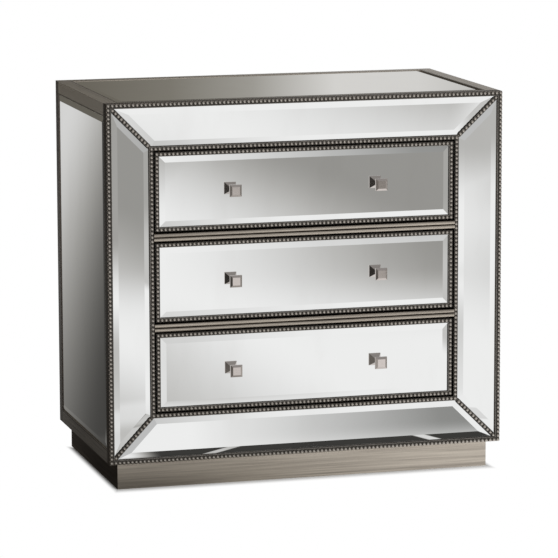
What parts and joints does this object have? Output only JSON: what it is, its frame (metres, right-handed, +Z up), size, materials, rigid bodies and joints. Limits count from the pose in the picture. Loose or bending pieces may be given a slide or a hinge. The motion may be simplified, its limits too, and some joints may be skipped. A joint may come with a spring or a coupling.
{
  "type": "chest of drawers",
  "caption": "Mirrored chest of drawers: bevelled mirrors in a canted frame edged with bead strips, square knobs, drawers on telescopic slides, standing on a recessed plinth.",
  "frame": {"origin": "on the floor, below the middle of the whole outline, knobs included", "axes": "+X to the right of the chest as seen from the front, -Y out of the drawer fronts, +Z up"},
  "size_m": [0.858, 0.503, 0.813],
  "materials": {
    "champagne_finish": "brushed champagne-silver lacquer",
    "mirror_glass": "polished, silvered behind, wide bevels",
    "silver_bead": "antique silver leaf on moulded beads, dark in the recesses",
    "dark_board": "black stain, matt",
    "drawer_wood": "clear satin lacquer",
    "satin_nickel": "satin nickel",
    "zinc_steel": "zinc plated"
  },
  "bodies": {
    "carcass": {"plinth_front_board": "champagne_finish", "plinth_back_board": "champagne_finish", "plinth_left_board": "champagne_finish", "plinth_right_board": "champagne_finish", "plinth_corner_blocks": "dark_board", "bottom_panel": "dark_board", "left_side_panel": "champagne_finish", "right_side_panel": "champagne_finish", "top_panel": "champagne_finish", "back_panel": "dark_board", "left_upright": "dark_board", "right_upright": "dark_board", "left_side_mirror": "mirror_glass", "right_side_mirror": "mirror_glass", "top_mirror": "mirror_glass", "frame_top_rail": "champagne_finish", "frame_bottom_rail": "champagne_finish", "frame_left_stile": "champagne_finish", "frame_right_stile": "champagne_finish", "frame_top_mirror": "mirror_glass", "frame_bottom_mirror": "mirror_glass", "frame_left_mirror": "mirror_glass", "frame_right_mirror": "mirror_glass", "outer_bead_trim": "silver_bead", "inner_bead_trim": "silver_bead", "mitre_bead_trim": "silver_bead", "upper_drawer_rail": "champagne_finish", "lower_drawer_rail": "champagne_finish", "cabinet_slides": "zinc_steel"},
    "upper_drawer": {"upper_drawer_front": "dark_board", "upper_drawer_mirror": "mirror_glass", "upper_drawer_bead_trim": "silver_bead", "upper_drawer_sides": "drawer_wood", "upper_drawer_back": "drawer_wood", "upper_drawer_bottom": "drawer_wood", "upper_drawer_knobs": "satin_nickel", "upper_drawer_knob_screws": "zinc_steel", "upper_drawer_slides": "zinc_steel"},
    "upper_slide_members": {"upper_intermediate_slides": "zinc_steel"},
    "middle_drawer": {"middle_drawer_front": "dark_board", "middle_drawer_mirror": "mirror_glass", "middle_drawer_bead_trim": "silver_bead", "middle_drawer_sides": "drawer_wood", "middle_drawer_back": "drawer_wood", "middle_drawer_bottom": "drawer_wood", "middle_drawer_knobs": "satin_nickel", "middle_drawer_knob_screws": "zinc_steel", "middle_drawer_slides": "zinc_steel"},
    "middle_slide_members": {"middle_intermediate_slides": "zinc_steel"},
    "lower_drawer": {"lower_drawer_front": "dark_board", "lower_drawer_mirror": "mirror_glass", "lower_drawer_bead_trim": "silver_bead", "lower_drawer_sides": "drawer_wood", "lower_drawer_back": "drawer_wood", "lower_drawer_bottom": "drawer_wood", "lower_drawer_knobs": "satin_nickel", "lower_drawer_knob_screws": "zinc_steel", "lower_drawer_slides": "zinc_steel"},
    "lower_slide_members": {"lower_intermediate_slides": "zinc_steel"}
  },
  "joints": [
    {"name": "upper_drawer_pull", "type": "slide", "parent": "carcass", "child": "upper_drawer", "axis": [0, -1, 0], "range_m": [0, 0.37]},
    {"name": "upper_slide_extension", "type": "slide", "parent": "carcass", "child": "upper_slide_members", "axis": [0, -1, 0], "range_m": [0, 0.185]},
    {"name": "middle_drawer_pull", "type": "slide", "parent": "carcass", "child": "middle_drawer", "axis": [0, -1, 0], "range_m": [0, 0.37]},
    {"name": "middle_slide_extension", "type": "slide", "parent": "carcass", "child": "middle_slide_members", "axis": [0, -1, 0], "range_m": [0, 0.185]},
    {"name": "lower_drawer_pull", "type": "slide", "parent": "carcass", "child": "lower_drawer", "axis": [0, -1, 0], "range_m": [0, 0.37]},
    {"name": "lower_slide_extension", "type": "slide", "parent": "carcass", "child": "lower_slide_members", "axis": [0, -1, 0], "range_m": [0, 0.185]}
  ],
  "couplings": [
    {"joint": "upper_slide_extension", "follows": "upper_drawer_pull", "ratio": 0.5},
    {"joint": "middle_slide_extension", "follows": "middle_drawer_pull", "ratio": 0.5},
    {"joint": "lower_slide_extension", "follows": "lower_drawer_pull", "ratio": 0.5}
  ]
}
